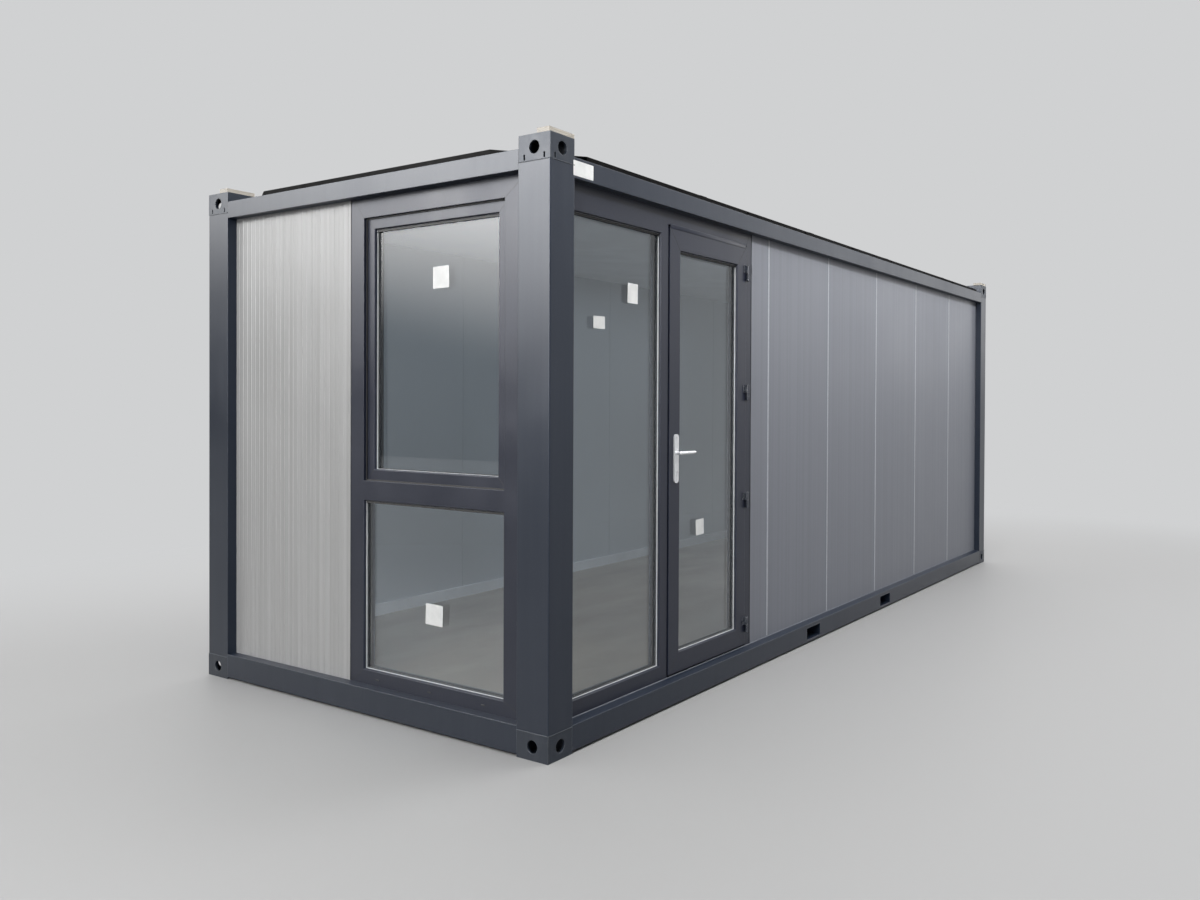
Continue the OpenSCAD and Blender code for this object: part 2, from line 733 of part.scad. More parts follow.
hinges_on_leaf();
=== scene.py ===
import bmesh
import bpy
import math
import random
from mathutils import Matrix, Vector


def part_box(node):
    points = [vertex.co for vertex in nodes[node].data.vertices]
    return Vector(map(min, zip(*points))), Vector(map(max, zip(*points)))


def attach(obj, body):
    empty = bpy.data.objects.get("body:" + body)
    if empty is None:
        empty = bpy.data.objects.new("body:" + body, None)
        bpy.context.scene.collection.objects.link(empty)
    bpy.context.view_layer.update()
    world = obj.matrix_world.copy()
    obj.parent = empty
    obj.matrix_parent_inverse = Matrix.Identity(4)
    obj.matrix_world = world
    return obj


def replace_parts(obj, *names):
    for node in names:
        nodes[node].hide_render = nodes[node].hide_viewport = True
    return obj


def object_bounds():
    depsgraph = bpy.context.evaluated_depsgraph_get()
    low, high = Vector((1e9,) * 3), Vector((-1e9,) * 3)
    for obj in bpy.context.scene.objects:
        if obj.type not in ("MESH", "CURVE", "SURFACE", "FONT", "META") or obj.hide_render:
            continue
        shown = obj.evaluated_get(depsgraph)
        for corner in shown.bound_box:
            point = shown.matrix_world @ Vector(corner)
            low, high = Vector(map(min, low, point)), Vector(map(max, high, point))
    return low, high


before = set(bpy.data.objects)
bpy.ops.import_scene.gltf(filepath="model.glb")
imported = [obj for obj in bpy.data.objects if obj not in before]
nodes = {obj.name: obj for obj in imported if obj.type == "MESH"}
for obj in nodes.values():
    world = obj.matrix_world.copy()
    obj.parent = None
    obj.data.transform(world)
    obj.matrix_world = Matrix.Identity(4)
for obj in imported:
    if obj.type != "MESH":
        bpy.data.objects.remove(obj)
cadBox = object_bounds()
boxLow, boxHigh = Vector(cadBox[0]), Vector(cadBox[1])
sideFace = boxHigh.x     # outer face of the door side
frontFace = boxLow.y     # outer face of the window end
mm = 0.001
axisX, axisY, axisZ = Vector((1.0, 0.0, 0.0)), Vector((0.0, 1.0, 0.0)), Vector((0.0, 0.0, 1.0))
scene = bpy.context.scene
dice = random.Random(7)
print("frame loaded:", len(nodes), "nodes")


# camera at the photograph's place

shot = {
    "place": (3.878, -5.995, 1.488), "yaw": 31.81, "pitch": -0.55, "roll": 0.31,
    "sensor": 36.0, "lens": 28.884, "shift": (-0.1002, -0.0319),
}


def turned(degrees, axis):
    return Matrix.Rotation(math.radians(degrees), 4, axis)


cameraData = bpy.data.cameras.new("photoCamera")
cameraData.sensor_width = shot["sensor"]
cameraData.lens = shot["lens"]
cameraData.shift_x, cameraData.shift_y = shot["shift"]
camera = bpy.data.objects.new("photoCamera", cameraData)
aim = turned(shot["yaw"], "Z") @ turned(90.0 + shot["pitch"], "X") @ turned(shot["roll"], "Z")
camera.matrix_world = Matrix.Translation(shot["place"]) @ aim
scene.collection.objects.link(camera)
scene.camera = camera
print("camera set")


# small helpers for shader trees

noiseMiddle = (0.3, 0.7)     # where nearly all values of a noise lie
noiseCore = (0.35, 0.65)     # where most of them lie


def tone(*levels):    # display levels from 0 to 255 as a linear colour
    shares = [level / 255 for level in levels]
    return tuple(c / 12.92 if c <= 0.04045 else ((c + 0.055) / 1.055) ** 2.4 for c in shares) + (1.0,)


def put(tree, kind, **settings):
    made = tree.nodes.new(kind if kind.startswith("Node") else "ShaderNode" + kind)
    for key, value in settings.items():
        setattr(made, key, value)
    return made


def wire(tree, source, target):
    if hasattr(source, "is_output"):
        tree.links.new(source, target)
    else:
        target.default_value = source


def fill(node, values):
    for title, value in values.items():
        node.inputs[title].default_value = value


def calc(tree, operation, a, b=0.0, clamp=False):
    made = put(tree, "Math", operation=operation, use_clamp=clamp)
    wire(tree, a, made.inputs[0])
    wire(tree, b, made.inputs[1])
    return made.outputs[0]


def times(tree, a, b):
    return calc(tree, "MULTIPLY", a, b)


def spread(tree, value, given, result=(0.0, 1.0), shape="LINEAR"):
    made = put(tree, "MapRange", interpolation_type=shape)
    for socket, source in zip(made.inputs, (value, *given, *result)):
        wire(tree, source, socket)
    return made.outputs[0]


def mixTone(tree, amount, a, b):
    made = put(tree, "Mix", data_type="RGBA")
    wire(tree, amount, made.inputs[0])
    wire(tree, a, made.inputs[6])
    wire(tree, b, made.inputs[7])
    return made.outputs[2]


def grainNoise(tree, vector, scale, detail=3.0, roughness=0.55):
    made = put(tree, "TexNoise")
    wire(tree, vector, made.inputs["Vector"])
    wire(tree, scale, made.inputs["Scale"])
    fill(made, {"Detail": detail, "Roughness": roughness})
    return made.outputs["Fac"]


def stretched(tree, vector, factors):
    made = put(tree, "Mapping")
    wire(tree, vector, made.inputs["Vector"])
    fill(made, {"Scale": factors})
    return made.outputs["Vector"]


def objectPlace(tree):
    return put(tree, "TexCoord").outputs["Object"]


def bumped(tree, height, bump, normal=None):    # bump is its strength and distance
    made = put(tree, "Bump")
    fill(made, dict(zip(("Strength", "Distance"), bump)))
    wire(tree, height, made.inputs["Height"])
    if normal is not None:
        wire(tree, normal, made.inputs["Normal"])
    return made.outputs["Normal"]


def coat(tree, surface, color, rough, normal):
    for title, source in (("Base Color", color), ("Roughness", rough), ("Normal", normal)):
        wire(tree, source, surface.inputs[title])


def blended(tree, amount, first, second, output):
    both = put(tree, "MixShader")
    wire(tree, amount, both.inputs[0])
    tree.links.new(first.outputs[0], both.inputs[1])
    tree.links.new(second.outputs[0], both.inputs[2])
    tree.links.new(both.outputs[0], tree.nodes[output].inputs["Surface"])


def newFinish(name):
    made = bpy.data.materials.new(name)
    made.use_nodes = True
    tree = made.node_tree
    return made, tree, tree.nodes["Principled BSDF"]


def newGroup(name, inputs, outputs):
    tree = bpy.data.node_groups.new(name, "ShaderNodeTree")
    for way, sockets in (("INPUT", inputs), ("OUTPUT", outputs)):
        for title, kind in sockets:
            tree.interface.new_socket(title, in_out=way, socket_type="NodeSocket" + kind)
    return tree, put(tree, "NodeGroupInput").outputs, put(tree, "NodeGroupOutput").inputs


def useGroup(tree, group, **values):
    made = put(tree, "Group", node_tree=group)
    for title, value in values.items():
        wire(tree, value, made.inputs[title])
    return made.outputs


# effects that several finishes share; a noise is given its scale, detail and, where it is not the
# usual one, its roughness, and the blotch takes its scale from the group's own input

weatherLook = {
    "blotch": (5.0, 0.6), "rain": (26.0, 26.0, 1.1), "rainNoise": (1.0, 4.0, 0.6),
    "rainRange": (0.35, 0.75), "speckNoise": (300.0, 2.0, 0.5), "speckRange": (0.66, 0.74),
}


def makeWeather(look):
    tree, given, result = newGroup(
        "weather", [("Place", "Vector"), ("Size", "Float")],
        [("Blotch", "Float"), ("Streak", "Float"), ("Speck", "Float")])
    place = given["Place"]
    wire(tree, grainNoise(tree, place, given["Size"], *look["blotch"]), result["Blotch"])
    rain = grainNoise(tree, stretched(tree, place, look["rain"]), *look["rainNoise"])
    wire(tree, spread(tree, rain, look["rainRange"]), result["Streak"])
    speck = grainNoise(tree, place, *look["speckNoise"])
    wire(tree, spread(tree, speck, look["speckRange"]), result["Speck"])
    return tree


edgeLook = {"samples": 4, "meet": (0.97, 0.86)}    # cosines where the mask starts and is full


def makeEdges(look):
    tree, given, result = newGroup(
        "edges", [("Radius", "Float")], [("Mask", "Float"), ("Normal", "Vector")])
    soft = put(tree, "Bevel", samples=look["samples"])
    wire(tree, given["Radius"], soft.inputs["Radius"])
    meet = put(tree, "VectorMath", operation="DOT_PRODUCT")
    wire(tree, soft.outputs[0], meet.inputs[0])
    wire(tree, put(tree, "NewGeometry").outputs["Normal"], meet.inputs[1])
    wire(tree, spread(tree, meet.outputs["Value"], look["meet"]), result["Mask"])
    wire(tree, soft.outputs[0], result["Normal"])
    return tree


weather, edges = makeWeather(weatherLook), makeEdges(edgeLook)


# painted steel; its edges are lighter, partly from wear and partly as a painted highlight

paintShares = {"dust": 0.3, "speck": 0.16, "peelDetail": 2.0}
steelPaint = {
    "framePaint": {
        "color": tone(27, 36, 51), "dust": tone(56, 62, 72), "worn": tone(112, 119, 130),
        "size": 2.2, "shine": 0.42, "rough": (0.3, 0.38), "peel": 150.0, "bump": (0.1, 0.0007),
        "edge": 0.004, "wear": 0.7,
    },
    "castingPaint": {
        "color": tone(31, 39, 51), "dust": tone(74, 78, 84), "worn": tone(132, 136, 140),
        "size": 9.0, "shine": 0.42, "rough": (0.36, 0.55), "peel": 95.0, "bump": (0.2, 0.001),
        "edge": 0.004, "wear": 0.9,
    },
    # the hinges' light edge colour is a painted highlight
    "hingePaint": {
        "color": tone(42, 47, 58), "dust": tone(80, 85, 93), "worn": tone(170, 173, 178),
        "size": 30.0, "shine": 0.8, "rough": (0.2, 0.32), "peel": 260.0, "bump": (0.1, 0.0006),
        "edge": 0.002, "wear": 1.0,
    },
    "roofPaint": {
        "color": tone(12, 12, 13), "dust": tone(62, 61, 58), "worn": tone(30, 30, 32),
        "size": 1.4, "shine": 0.03, "rough": (0.5, 0.7), "peel": 150.0, "bump": (0.1, 0.001),
        "edge": 0.003, "wear": 0.3,
    },
    "lapPaint": {
        "color": tone(22, 22, 23), "dust": tone(66, 65, 62), "worn": tone(48, 48, 50),
        "size": 1.4, "shine": 0.1, "rough": (0.5, 0.7), "peel": 150.0, "bump": (0.1, 0.001),
        "edge": 0.003, "wear": 0.5,
    },
}


def makePaint(name, look):
    finish, tree, surface = newFinish(name)
    place = objectPlace(tree)
    marks = useGroup(tree, weather, Place=place, Size=look["size"])
    rim = useGroup(tree, edges, Radius=look["edge"])
    dusty = times(tree, times(tree, marks["Blotch"], marks["Streak"]), paintShares["dust"])
    body = mixTone(tree, dusty, look["color"], look["dust"])
    body = mixTone(tree, times(tree, marks["Speck"], paintShares["speck"]), body, look["worn"])
    # lighter edges: partly wear, partly a painted highlight
    worn = times(tree, rim["Mask"], times(tree, marks["Blotch"], look["wear"]))
    body = mixTone(tree, worn, body, look["worn"])
    rough = spread(tree, marks["Blotch"], noiseMiddle, look["rough"])
    peel = grainNoise(tree, place, look["peel"], paintShares["peelDetail"])
    coat(tree, surface, body, rough, bumped(tree, peel, look["bump"], rim["Normal"]))
    fill(surface, {"Specular IOR Level": look["shine"]})
    return finish


# window foil with a fine printed grain along the height, and a painted highlight on its edges

foilLook = {
    "color": tone(36, 41, 57), "dark": tone(27, 31, 45), "edge": tone(112, 116, 128),
    "edgeShare": 0.45, "radius": 0.003, "rough": (0.3, 0.42), "roughNoise": (3.0, 4.0),
    "grain": (900.0, 900.0, 60.0), "grainNoise": (1.0, 3.0, 0.6), "grainRange": (0.35, 0.7),
    "bump": (0.12, 0.0006), "shine": 0.39,
}


def makeFoil(name, look):
    finish, tree, surface = newFinish(name)
    place = objectPlace(tree)
    rim = useGroup(tree, edges, Radius=look["radius"])
    pores = grainNoise(tree, stretched(tree, place, look["grain"]), *look["grainNoise"])
    body = mixTone(tree, spread(tree, pores, look["grainRange"]), look["dark"], look["color"])
    # painted highlight along the edges
    body = mixTone(tree, times(tree, rim["Mask"], look["edgeShare"]), body, look["edge"])
    rough = spread(tree, grainNoise(tree, place, *look["roughNoise"]), noiseMiddle, look["rough"])
    coat(tree, surface, body, rough, bumped(tree, pores, look["bump"], rim["Normal"]))
    fill(surface, {"Specular IOR Level": look["shine"]})
    return finish


# wall panels: coated sheet with rolled lines outside, pale lining inside

panelLook = {
    "silver": (tone(132, 135, 144), tone(124, 127, 135)),
    "ribbed": (tone(183, 183, 183), tone(158, 158, 157)),
    "lining": (tone(180, 188, 197), tone(168, 176, 185)), "liningShare": 0.6,
    "rough": (0.32, 0.44), "metal": 0.05, "shine": 0.18, "size": 1.3, "streakShare": 0.25,
    "bands": (38.0, 38.0, 0.12), "bandNoise": (1.0, 2.0), "bandRange": (0.4, 0.65),
    "bandShare": (0.0, 0.55), "waves": (1.5, 1.5, 0.5), "waveNoise": (3.0, 2.0),
    "grainNoise": (260.0, 2.0), "grainShare": 0.05, "bump": (0.08, 0.004),
    "walls": {    # node, axis through the wall, way it faces, sheet
        "rightPanel": ("right_wall_panels", 0, 1, "silver"),
        "leftPanel": ("left_wall_panels", 0, -1, "silver"),
        "rearPanel": ("rear_wall_panels", 1, 1, "silver"),
        "frontPanel": ("front_wall_panel", 1, -1, "ribbed"),
    },
}


def makePanel(name, node, axis, outward, sheet):
    look = panelLook
    low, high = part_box(node)
    finish, tree, surface = newFinish(name)
    place = objectPlace(tree)
    parts = put(tree, "SeparateXYZ")
    wire(tree, place, parts.inputs[0])
    beyond = "GREATER_THAN" if outward > 0 else "LESS_THAN"
    outside = calc(tree, beyond, parts.outputs[axis], (low[axis] + high[axis]) / 2)
    marks = useGroup(tree, weather, Place=place, Size=look["size"])
    bands = grainNoise(tree, stretched(tree, place, look["bands"]), *look["bandNoise"])
    outer, dusty = look[sheet]
    skin = mixTone(tree, spread(tree, bands, look["bandRange"], look["bandShare"]), outer, dusty)
    skin = mixTone(tree, times(tree, marks["Streak"], look["streakShare"]), skin, dusty)
    inner = mixTone(tree, times(tree, marks["Blotch"], look["liningShare"]), *look["lining"])
    rough = spread(tree, marks["Blotch"], noiseMiddle, look["rough"])
    waves = grainNoise(tree, stretched(tree, place, look["waves"]), *look["waveNoise"])
    grain = times(tree, grainNoise(tree, place, *look["grainNoise"]), look["grainShare"])
    relief = bumped(tree, calc(tree, "ADD", waves, grain), look["bump"])
    coat(tree, surface, mixTone(tree, outside, inner, skin), rough, relief)
    fill(surface, {"Metallic": look["metal"], "Specular IOR Level": look["shine"]})
    return finish


# board, rubber, paper, sealant and trim

plainNoise = (5.0, 0.6)
plainLooks = {    # two colours, pattern scale, roughness, bump
    "liningBoard": (tone(228, 232, 238), tone(218, 222, 228), 4.0, (0.45, 0.6), (0.05, 0.001)),
    "rubber": (tone(10, 10, 11), tone(18, 18, 19), 60.0, (0.55, 0.75), (0.1, 0.0005)),
    "spacerBar": (tone(20, 21, 23), tone(30, 31, 33), 80.0, (0.4, 0.55), (0.05, 0.0004)),
    "paleGasket": (tone(228, 230, 232), tone(216, 218, 220), 80.0, (0.35, 0.5), (0.05, 0.0004)),
    "blankPaper": (tone(240, 241, 240), tone(226, 227, 226), 14.0, (0.5, 0.65), (0.05, 0.0004)),
    "sealant": (tone(24, 26, 30), tone(36, 38, 43), 40.0, (0.4, 0.55), (0.15, 0.0008)),
    "jointTrim": (tone(178, 181, 189), tone(168, 171, 179), 30.0, (0.3, 0.42), (0.05, 0.0004)),
    # light colour of the foot sealant: painted highlight
    "footSeal": (tone(122, 126, 134), tone(106, 110, 118), 40.0, (0.4, 0.55), (0.1, 0.0006)),
    # painted shade for the slots and holes of the door furniture
    "darkHole": (tone(7, 7, 8), tone(13, 13, 14), 90.0, (0.6, 0.8), (0.05, 0.0004)),
}


def makePlain(name, look):
    first, second, scale, limits, bump = look
    finish, tree, surface = newFinish(name)
    cloud = grainNoise(tree, objectPlace(tree), scale, *plainNoise)
    body = mixTone(tree, spread(tree, cloud, noiseCore), first, second)
    coat(tree, surface, body, spread(tree, cloud, noiseMiddle, limits), bumped(tree, cloud, bump))
    return finish


# floor covering

floorLook = {
    "plank": tone(140, 128, 115), "shade": tone(128, 117, 105), "fleck": tone(112, 103, 93),
    "rough": (0.3, 0.42), "grain": (3.0, 1.2, 1.0), "grainNoise": (1.0, 4.0),
    "fleckNoise": (160.0, 2.0), "fleckRange": (0.58, 0.7), "fleckShare": (0.0, 0.5),
    "bump": (0.06, 0.0006),
}


def makeFloorCover(name, look):
    finish, tree, surface = newFinish(name)
    place = objectPlace(tree)
    grain = grainNoise(tree, stretched(tree, place, look["grain"]), *look["grainNoise"])
    fleck = grainNoise(tree, place, *look["fleckNoise"])
    body = mixTone(tree, spread(tree, grain, noiseCore), look["plank"], look["shade"])
    dots = spread(tree, fleck, look["fleckRange"], look["fleckShare"])
    body = mixTone(tree, dots, body, look["fleck"])
    rough = spread(tree, grain, noiseMiddle, look["rough"])
    coat(tree, surface, body, rough, bumped(tree, fleck, look["bump"]))
    return finish


# bare metal

metalShares = {"noise": (1.0, 3.0), "edge": 0.0012, "bump": (0.06, 0.0003)}
metalLooks = {    # two colours, brush direction, roughness, metal share
    "brightSteel": (tone(240, 241, 243), tone(224, 225, 228), (700.0, 700.0, 24.0), (0.16, 0.3), 0.5),
    "galvanised": (tone(150, 154, 158), tone(112, 116, 120), (30.0, 30.0, 30.0), (0.38, 0.55), 0.9),
}


def makeMetal(name, look):
    first, second, brush, limits, share = look
    finish, tree, surface = newFinish(name)
    lines = grainNoise(tree, stretched(tree, objectPlace(tree), brush), *metalShares["noise"])
    rim = useGroup(tree, edges, Radius=metalShares["edge"])
    body = mixTone(tree, spread(tree, lines, noiseCore), first, second)
    relief = bumped(tree, lines, metalShares["bump"], rim["Normal"])
    coat(tree, surface, body, spread(tree, lines, noiseMiddle, limits), relief)
    fill(surface, {"Metallic": share})
    return finish


# wood of the battens

woodLook = {
    "pale": tone(192, 186, 176), "grain": tone(156, 147, 133), "rough": (0.6, 0.8),
    "noise": (1.0, 3.0), "bend": (9.0, 2.0, 9.0), "bendShare": (0.35, 0.9),
    "rings": (1.0, 0.12, 1.0), "wave": {"Scale": 46.0, "Distortion": 5.0, "Detail": 3.0},
    "fibre": (500.0, 14.0, 500.0), "fibreRange": (0.55, 0.75), "fibreShare": (0.0, 0.35),
    "bump": (0.35, 0.001),
}


def makeWood(name, look):
    finish, tree, surface = newFinish(name)
    place = objectPlace(tree)
    bend = grainNoise(tree, stretched(tree, place, look["bend"]), *look["noise"])
    rings = put(tree, "TexWave", wave_type="RINGS", rings_direction="Y")
    wire(tree, stretched(tree, place, look["rings"]), rings.inputs["Vector"])
    fill(rings, look["wave"])
    fibre = grainNoise(tree, stretched(tree, place, look["fibre"]), *look["noise"])
    amount = times(tree, rings.outputs["Fac"], spread(tree, bend, noiseMiddle, look["bendShare"]))
    body = mixTone(tree, amount, look["pale"], look["grain"])
    lines = spread(tree, fibre, look["fibreRange"], look["fibreShare"])
    body = mixTone(tree, lines, body, look["grain"])
    rough = spread(tree, fibre, noiseMiddle, look["rough"])
    coat(tree, surface, body, rough, bumped(tree, fibre, look["bump"]))
    return finish


# clear glass that lets the light of the room and the lamps through

glassLook = {
    "tint": (0.92, 0.96, 0.985, 1.0), "film": (0.9, 0.942, 0.97, 1.0),
    "through": (0.97, 0.98, 0.985, 1.0), "smear": (3.0, 3.0, 1.2), "smearNoise": (1.6, 4.0),
    "smearRange": (0.45, 0.75), "rough": (0.0, 0.006), "index": 1.45,
}


def makeGlass(name, look):
    finish, tree, surface = newFinish(name)
    place = stretched(tree, objectPlace(tree), look["smear"])
    smear = grainNoise(tree, place, *look["smearNoise"])
    wire(tree, mixTone(tree, smear, look["tint"], look["film"]), surface.inputs["Base Color"])
    rough = spread(tree, smear, look["smearRange"], look["rough"])
    wire(tree, rough, surface.inputs["Roughness"])
    fill(surface, {"Transmission Weight": 1.0, "IOR": look["index"]})
    clear = put(tree, "BsdfTransparent")
    fill(clear, {"Color": look["through"]})
    rays = put(tree, "LightPath").outputs
    either = calc(tree, "ADD", rays["Is Shadow Ray"], rays["Is Diffuse Ray"], clamp=True)
    blended(tree, either, surface, clear, "Material Output")
    return finish


makers = (
    (makePaint, steelPaint), (makePlain, plainLooks), (makeMetal, metalLooks),
    (makeFoil, {"windowFoil": foilLook}), (makeFloorCover, {"floorCover": floorLook}),
    (makeWood, {"paleWood": woodLook}), (makeGlass, {"clearGlass": glassLook}),
)
finishes = {name: make(name, look) for make, looks in makers for name, look in looks.items()}
for name, wall in panelLook["walls"].items():
    finishes[name] = makePanel(name, *wall)

dressedBy = {    # finish, and how the names of its nodes start
    "framePaint": ("post_", "floor_beam", "fork_pocket", "roof_beam"),
    "castingPaint": ("casting_",),
    "galvanised": ("floor_joists",),
    "floorCover": ("floor_deck",),
    "liningBoard": ("skirting", "ceiling"),
    "roofPaint": ("roof_sheet",),
    "paleWood": ("stacking",),
    "rightPanel": ("right_wall",),
    "leftPanel": ("left_wall",),
    "rearPanel": ("rear_wall",),
    "frontPanel": ("front_wall",),
    "windowFoil": ("front_window", "side_glazing", "door_leaf"),
    "clearGlass": ("front_upper", "front_lower", "side_fixed", "door_glass"),
    "brightSteel": ("door_handle", "door_lever", "lock_"),
    "hingePaint": ("hinges_",),
}
for name, obj in nodes.items():
    finish = next(look for look, starts in dressedBy.items() if name.startswith(starts))
    obj.data.materials.clear()
    obj.data.materials.append(finishes[finish])
print("finishes on all nodes")


# small helpers for meshes

def edgesOf(verts):
    return list(dict.fromkeys(edge for vert in verts for edge in vert.link_edges))


def rounded(bm, rims, width, segments=2):
    return bmesh.ops.bevel(
        bm, geom=rims, offset=width, offset_type="OFFSET", segments=segments, profile=0.5,
        affect="EDGES", material=-1)


def boxInto(bm, a, b, bevelWidth=0.0):    # between two opposite corners
    low = Vector([min(pair) for pair in zip(a, b)])
    high = Vector([max(pair) for pair in zip(a, b)])
    made = bmesh.ops.create_cube(bm, size=1.0)["verts"]
    bmesh.ops.scale(bm, vec=high - low, verts=made)
    bmesh.ops.translate(bm, vec=(low + high) / 2, verts=made)
    if bevelWidth:
        rounded(bm, edgesOf(made), bevelWidth)


def ringInto(bm, corners, width, depth):
    face = bm.faces.new([bm.verts.new(corner) for corner in corners])
    face.normal_update()
    rim = bmesh.ops.inset_region(
        bm, faces=[face], thickness=width, use_boundary=True, use_even_offset=True)["faces"]
    bmesh.ops.delete(bm, geom=[face], context="FACES")
    lifted = bmesh.ops.extrude_face_region(bm, geom=rim, use_keep_orig=True)["geom"]
    moved = [g for g in lifted if isinstance(g, bmesh.types.BMVert)]
    bmesh.ops.translate(bm, vec=depth, verts=moved)


def discInto(bm, centre, axis, radius, length, sides, bevelWidth, tip=None):
    turn = axisZ.rotation_difference(axis).to_matrix().to_4x4()
    made = bmesh.ops.create_cone(
        bm, cap_ends=True, segments=sides, radius1=radius, radius2=radius if tip is None else tip,
        depth=length, matrix=Matrix.Translation(centre) @ turn)["verts"]
    rims = [edge for edge in edgesOf(made) if any(len(f.verts) > 4 for f in edge.link_faces)]
    rounded(bm, rims, bevelWidth)


def barInto(bm, start, end, normal, width, thick, bevelWidth):
    along = (end - start).normalized()
    across = normal.cross(along)
    sides = (across * width, along * (end - start).length, normal * thick)
    basis = Matrix(sides).transposed().to_4x4()
    middle = Matrix.Translation((start + end) / 2)
    made = bmesh.ops.create_cube(bm, size=1.0, matrix=middle @ basis)["verts"]
    rounded(bm, edgesOf(made), bevelWidth)


def beadInto(bm, start, end, radius, run):
    along = (end - start).normalized()
    count = max(2, round((end - start).length / run["step"]))
    turn = axisZ.rotation_difference(along).to_matrix().to_4x4()
    ring = bmesh.ops.create_circle(
        bm, cap_ends=True, segments=8, radius=radius,
        matrix=Matrix.Translation(start) @ turn)["verts"]
    rim = edgesOf(ring)
    for index in range(1, count + 1):
        pushed = bmesh.ops.extrude_edge_only(bm, edges=rim)["geom"]
        ring = [g for g in pushed if isinstance(g, bmesh.types.BMVert)]
        rim = [g for g in pushed if isinstance(g, bmesh.types.BMEdge)]
        middle = sum((v.co for v in ring), Vector()) / len(ring)
        target = start.lerp(end, index / count)
        wobble = 1.0 + run["wobble"] * dice.uniform(-1.0, 1.0)
        size = radius * wobble / (ring[0].co - middle).length
        bmesh.ops.scale(
            bm, vec=(size, size, size), space=Matrix.Translation(-middle), verts=ring)
        bmesh.ops.translate(bm, vec=target - middle, verts=ring)
    bmesh.ops.contextual_create(bm, geom=rim)


def finishPiece(bm, name, body, finish, smooth=False):
    bmesh.ops.recalc_face_normals(bm, faces=bm.faces)
    mesh = bpy.data.meshes.new(name)
    bm.to_mesh(mesh)
    bm.free()
    for polygon in mesh.polygons:
        polygon.use_smooth = smooth
    obj = bpy.data.objects.new(name, mesh)
    scene.collection.objects.link(obj)
    mesh.materials.append(finishes[finish])
    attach(obj, body)
    return obj


# places in mm: depth behind the face, distance along it from the glazed corner, height

def onSide(depth, along, height):
    return Vector((sideFace - depth * mm, frontFace + along * mm, height * mm))


def onFront(depth, along, height):
    return Vector((sideFace - along * mm, frontFace + depth * mm, height * mm))


places = {"side": onSide, "front": onFront}
facings = {"side": axisX, "front": -axisY}


# insulating glass: two panes, a dark spacer between them, a pale gasket in front, a rubber
# bead behind, and a black strip of painted shade under the head of the opening

glazing = {
    "pane": 4 * mm, "hidden": 16 * mm, "spacerHide": 5 * mm, "spacerShow": 2 * mm,
    "gasketWidth": 1.2 * mm, "gasketDepth": 7 * mm, "beadWidth": 4 * mm, "beadThick": 3 * mm,
    "shadeStripTall": 10 * mm, "shadeStripDeep": 7.5 * mm, "shadeStripRound": 0.8 * mm,
    "units": {
        "front_upper_glass": ("cabin", "front"), "front_lower_glass": ("cabin", "front"),
        "side_fixed_glass": ("cabin", "side"), "door_glass": ("door", "side"),
    },
}


def unitCorners(low, high, facing, depth, inset):
    run = 0 if facing == "front" else 1    # axis along the pane
    a0, a1 = low[run] + inset, high[run] - inset
    z0, z1 = low[2] + inset, high[2] - inset
    spots = ((a0, z0), (a1, z0), (a1, z1), (a0, z1))
    if facing == "front":
        return [Vector((a, low[1] + depth, z)) for a, z in spots]
    return [Vector((high[0] - depth, a, z)) for a, z in spots]


for node, (body, facing) in glazing["units"].items():
    low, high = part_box(node)
    thick = high[1] - low[1] if facing == "front" else high[0] - low[0]
    pane, hidden, inward = glazing["pane"], glazing["hidden"], -facings[facing]
    bm = bmesh.new()
    for depth in (0.0, thick - pane):
        corners = unitCorners(low, high, facing, depth, 0.0)
        boxInto(bm, corners[0], corners[2] + inward * pane)
    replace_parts(finishPiece(bm, node + "_panes", body, "clearGlass"), node)
    bm = bmesh.new()
    corners = unitCorners(low, high, facing, pane, glazing["spacerHide"])
    width = hidden + glazing["spacerShow"] - glazing["spacerHide"]
    ringInto(bm, corners, width, inward * (thick - 2 * pane))
    finishPiece(bm, node + "_spacer", body, "spacerBar")
    bm = bmesh.new()
    corners = unitCorners(low, high, facing, -glazing["gasketDepth"], hidden)
    ringInto(bm, corners, glazing["gasketWidth"], inward * glazing["gasketDepth"])
    finishPiece(bm, node + "_gasket", body, "paleGasket")
    bm = bmesh.new()
    corners = unitCorners(low, high, facing, thick, hidden)
    ringInto(bm, corners, glazing["beadWidth"], inward * glazing["beadThick"])
    # black strip under the head of the opening: painted shade over the top run of the gasket
    corners = unitCorners(low, high, facing, 0.0, hidden + glazing["gasketWidth"])
    drop = axisZ * glazing["shadeStripTall"] + inward * glazing["shadeStripDeep"]
    boxInto(bm, corners[3], corners[2] - drop, glazing["shadeStripRound"])
    finishPiece(bm, node + "_bead_and_head_shade", body, "rubber")
print("glass units")


# weld beads where the posts meet their castings

welds = {
    "radius": 2.2 * mm, "step": 6 * mm, "wobble": 0.22, "heights": (115, 2481), "corner": 6 * mm,
    "postWidth": 175 * mm, "postDepth": 150 * mm,
}
bm = bmesh.new()
for sx in (1.0, -1.0):
    for sy in (-1.0, 1.0):
        for height in welds["heights"]:
            corner = Vector((sx * sideFace, sy * -frontFace, height * mm))
            for inward, reach in ((axisX * -sx, "postWidth"), (axisY * -sy, "postDepth")):
                start, end = corner + inward * welds["corner"], corner + inward * welds[reach]
                beadInto(bm, start, end, welds["radius"], welds)
finishPiece(bm, "weld_beads", "cabin", "castingPaint", smooth=True)


# mitre seams of the welded window, sash and door profiles: face, depth, place and height of the
# outer corner, place and height of the inner corner

